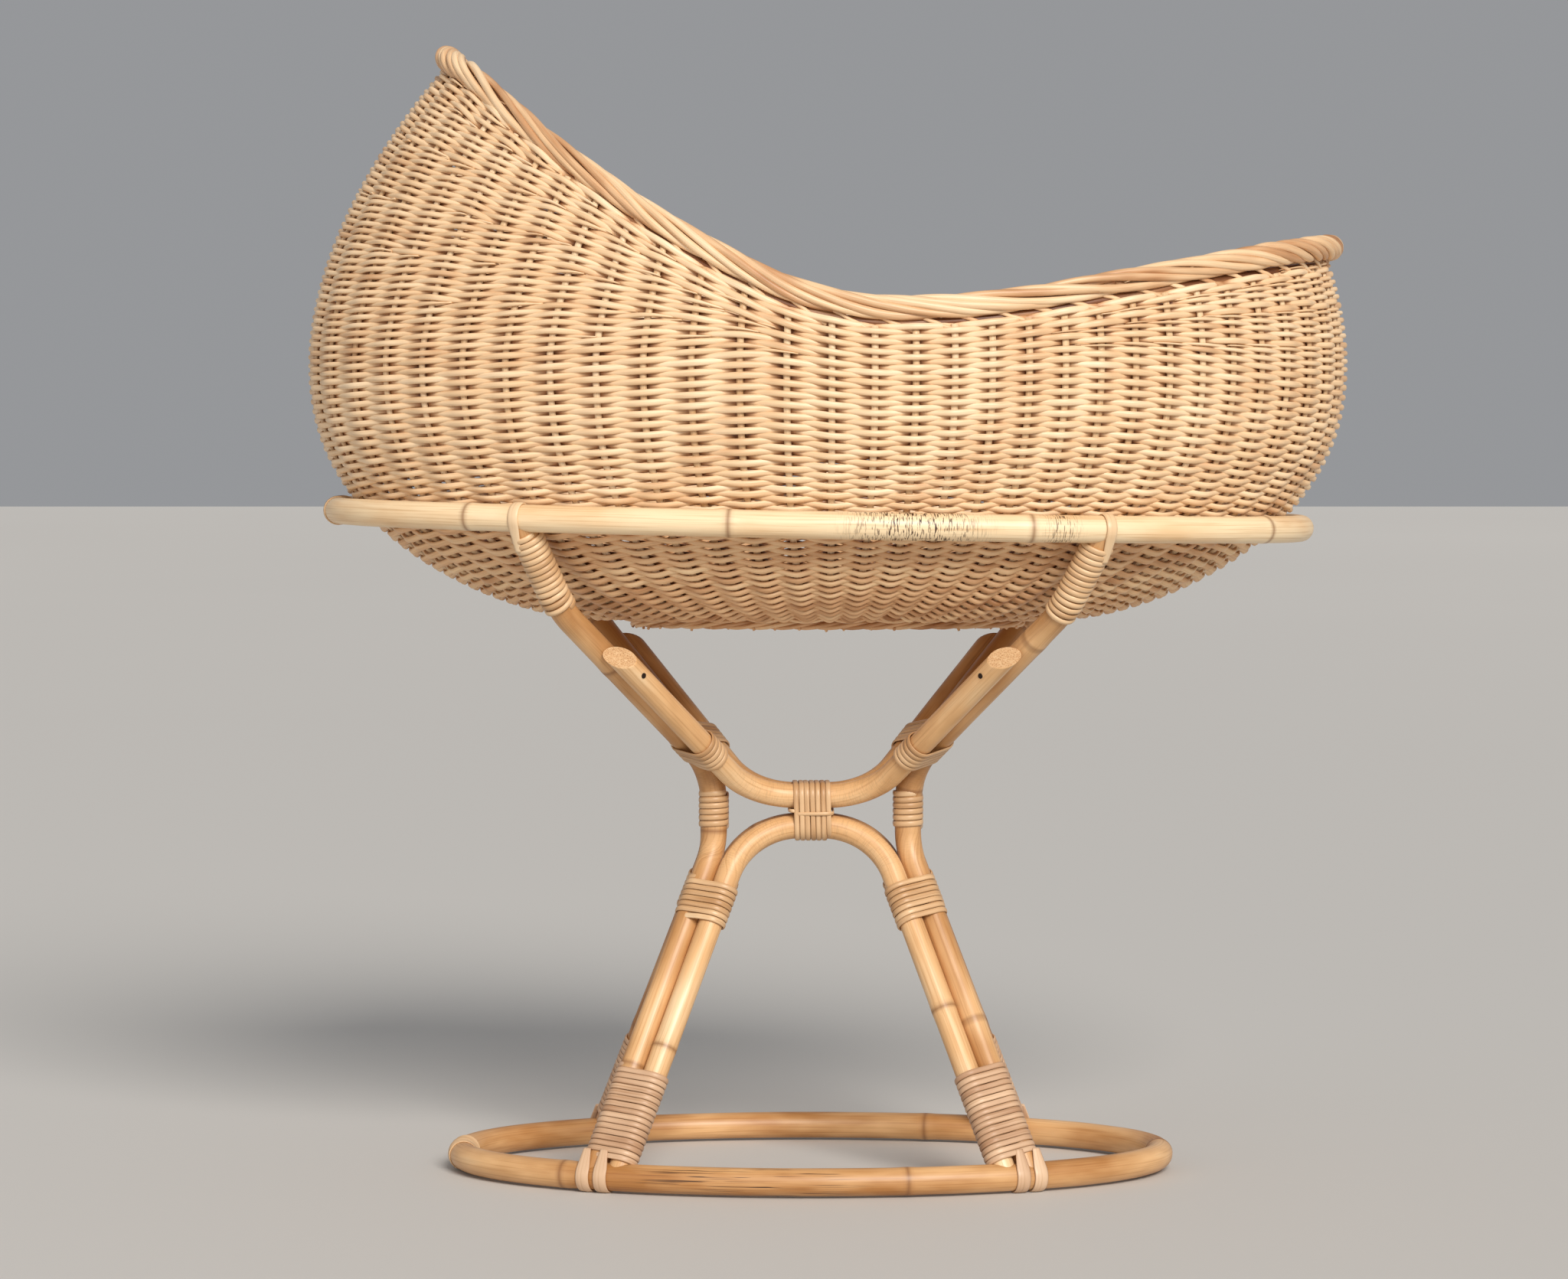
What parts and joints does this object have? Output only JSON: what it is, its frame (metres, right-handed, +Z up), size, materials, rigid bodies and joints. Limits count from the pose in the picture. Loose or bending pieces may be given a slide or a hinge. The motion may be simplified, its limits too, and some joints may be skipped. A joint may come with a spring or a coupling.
{
  "type": "wicker cradle on a cane stand",
  "caption": "Woven wicker cradle basket with a high curved head end that lifts out of the oval hoop of an hourglass stand of bent rattan canes bound with peel.",
  "frame": {"origin": "on the floor under the middle of the basket", "axes": "+Z up, -Y the front that the picture shows, -X the high head end of the basket"},
  "size_m": [0.8855, 0.5032, 0.9582],
  "materials": {
    "cane": "satin clear varnish on whole rattan cane",
    "peel": "satin split rattan peel",
    "thread": "fine split peel wound tight",
    "wicker": "bare satin willow-like rods",
    "iron": "dark oxidised iron"
  },
  "bodies": {
    "stand": {"arch_back": "cane", "arch_front": "cane", "base_hoop": "cane", "base_joint_thread": "thread", "brace_back": "cane", "brace_front": "cane", "brace_nails": "iron", "centre_binding": "peel", "centre_lash": "peel", "foot_binding_back_left": "peel", "foot_binding_back_right": "peel", "foot_binding_front_left": "peel", "foot_binding_front_right": "peel", "foot_nails": "iron", "foot_straps_back_left": "peel", "foot_straps_back_right": "peel", "foot_straps_front_left": "peel", "foot_straps_front_right": "peel", "head_coil_back_left": "peel", "head_coil_back_right": "peel", "head_coil_front_left": "peel", "head_coil_front_right": "peel", "hoop_joint_thread": "thread", "hoop_nails": "iron", "hoop_strap_back_left": "peel", "hoop_strap_back_right": "peel", "hoop_strap_front_left": "peel", "hoop_strap_front_right": "peel", "leg_back_left": "cane", "leg_back_right": "cane", "leg_front_left": "cane", "leg_front_right": "cane", "lower_binding_back_left": "peel", "lower_binding_back_right": "peel", "lower_binding_front_left": "peel", "lower_binding_front_right": "peel", "support_hoop": "cane", "upper_binding_back_left": "peel", "upper_binding_back_right": "peel", "upper_binding_front_left": "peel", "upper_binding_front_right": "peel", "waist_binding_left": "peel", "waist_binding_right": "peel"},
    "basket": {"basket_base": "wicker", "basket_wall": "wicker", "basket_wale": "wicker", "rim_border": "wicker"}
  },
  "joints": [
    {"name": "basket_lift", "type": "slide", "parent": "stand", "child": "basket", "axis": [0, 0, 1], "range_m": [0, 0.2]}
  ]
}
